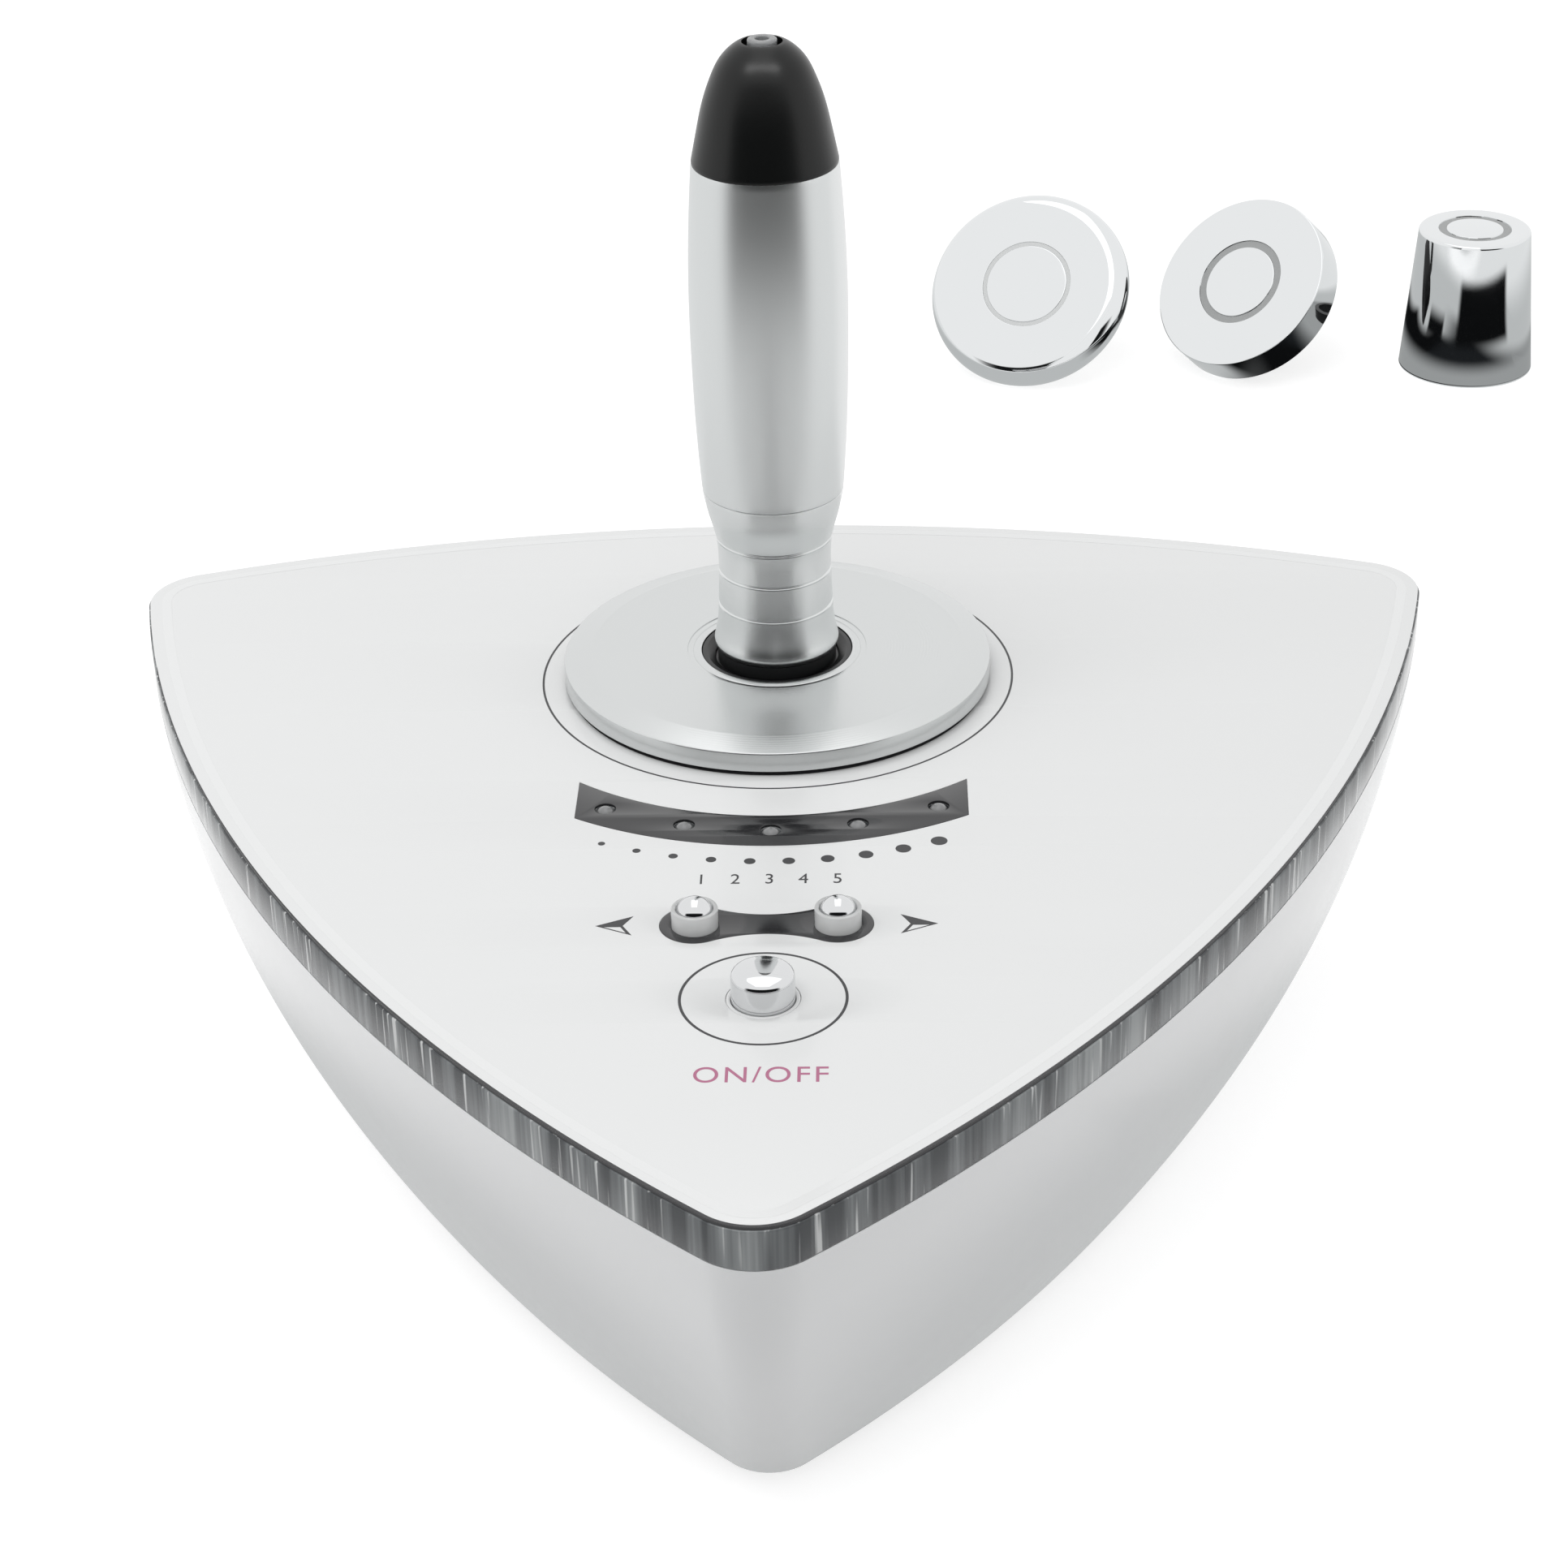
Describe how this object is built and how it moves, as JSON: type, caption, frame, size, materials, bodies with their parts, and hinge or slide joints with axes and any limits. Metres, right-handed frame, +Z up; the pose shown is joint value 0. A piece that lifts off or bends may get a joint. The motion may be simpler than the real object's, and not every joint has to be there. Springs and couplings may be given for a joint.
{
  "type": "facial toning device",
  "caption": "Desk-top facial toning device: a three-sided base with press buttons and a lamp row, a handpiece standing in its holder disc, and loose screw-on treatment heads.",
  "frame": {"origin": "on the table, under the middle of the base (as far from each of its three sides)", "axes": "+Z up, -Y towards the base's front corner and its user, +X to the user's right"},
  "size_m": [0.3374, 0.5444, 0.2047],
  "materials": {
    "shell_white": "white ABS, gloss",
    "cover_grey": "grey ABS, fine texture",
    "foot_rubber": "dark rubber",
    "screw_steel": "zinc-plated steel",
    "clear_acrylic": "clear cast acrylic, polished edge",
    "gasket_foam": "grey foam strip",
    "panel_white": "white panel film, gloss",
    "panel_dark": "smoked dark film, gloss",
    "lamp_clear": "clear lamp epoxy",
    "guide_clear": "clear moulded acrylic",
    "button_chrome": "chromed, polished",
    "switch_black": "black nylon",
    "board_green": "glass epoxy laminate, solder mask",
    "core_steel": "varnished steel laminations",
    "winding_copper": "enamelled copper wire",
    "sink_aluminium": "extruded, clear anodised",
    "component_black": "moulded epoxy",
    "can_sleeve": "shrink sleeve on aluminium can",
    "ribbon_grey": "grey ribbon insulation",
    "wire_red": "wire insulation",
    "socket_black": "black ABS",
    "nut_steel": "nickel-plated steel",
    "holder_aluminium": "turned and satin anodised",
    "grip_aluminium": "bead blasted, clear anodised",
    "cap_black": "black ABS, satin",
    "bush_clear": "clear soft PVC",
    "contact_brass": "turned brass",
    "head_chrome": "chromed, mirror polished",
    "head_insulator": "grey acetal",
    "head_coupling": "black nylon"
  },
  "bodies": {
    "base": {"body_shell": "shell_white", "bottom_cover": "cover_grey", "foot_ring": "foot_rubber", "cover_screws": "screw_steel", "plate_screws": "screw_steel", "board_screws": "screw_steel", "clear_plate": "clear_acrylic", "plate_gasket": "gasket_foam", "face_panel": "panel_white", "led_window": "panel_dark", "key_inlay": "panel_dark", "led_1": "lamp_clear", "led_2": "lamp_clear", "led_3": "lamp_clear", "led_4": "lamp_clear", "led_5": "lamp_clear", "power_guide": "guide_clear", "minus_guide": "guide_clear", "plus_guide": "guide_clear", "tact_switches": "switch_black", "board_pillars": "switch_black", "control_board": "board_green", "main_board": "board_green", "transformer_core": "core_steel", "transformer_coil": "winding_copper", "rf_coil": "winding_copper", "heat_sink": "sink_aluminium", "power_transistors": "component_black", "filter_capacitors": "can_sleeve", "panel_cable": "ribbon_grey", "inner_wires": "wire_red", "socket_cup": "socket_black", "socket_nut": "socket_black", "power_inlet": "socket_black", "lead_gland": "socket_black", "rear_nuts": "nut_steel", "holder_disc": "holder_aluminium"},
    "handpiece": {"barrel": "grip_aluminium", "neck": "grip_aluminium", "end_cap": "cap_black", "cap_gland": "bush_clear", "head_mount": "socket_black", "ring_contact": "contact_brass", "centre_contact": "contact_brass", "handpiece_wires": "wire_red"},
    "power_key": {"power_button": "button_chrome"},
    "minus_key": {"minus_button": "button_chrome"},
    "plus_key": {"plus_button": "button_chrome"},
    "large_head": {"large_head_shell": "head_chrome", "large_head_insulator": "head_insulator", "large_head_core": "head_chrome", "large_head_coupling": "head_coupling"},
    "medium_head": {"medium_head_shell": "head_chrome", "medium_head_insulator": "head_insulator", "medium_head_core": "head_chrome", "medium_head_coupling": "head_coupling"},
    "small_head": {"small_head_shell": "head_chrome", "small_head_insulator": "head_insulator", "small_head_core": "head_chrome", "small_head_coupling": "head_coupling"}
  },
  "joints": [
    {"name": "handpiece_lift", "type": "slide", "parent": "base", "child": "handpiece", "axis": [0, 0, 1], "range_m": [0, 0.05]},
    {"name": "power_press", "type": "slide", "parent": "base", "child": "power_key", "axis": [0, 0, -1], "range_m": [0, 0.0008], "stiffness_N_per_m": 800, "springref_m": -0.001},
    {"name": "minus_press", "type": "slide", "parent": "base", "child": "minus_key", "axis": [0, 0, -1], "range_m": [0, 0.0008], "stiffness_N_per_m": 800, "springref_m": -0.001},
    {"name": "plus_press", "type": "slide", "parent": "base", "child": "plus_key", "axis": [0, 0, -1], "range_m": [0, 0.0008], "stiffness_N_per_m": 800, "springref_m": -0.001},
    {"name": "large_head_lift", "type": "slide", "parent": "base", "child": "large_head", "axis": [0, 0, 1], "range_m": [0, 0.05]},
    {"name": "medium_head_lift", "type": "slide", "parent": "base", "child": "medium_head", "axis": [0, 0, 1], "range_m": [0, 0.05]},
    {"name": "small_head_lift", "type": "slide", "parent": "base", "child": "small_head", "axis": [0, 0, 1], "range_m": [0, 0.05]}
  ]
}
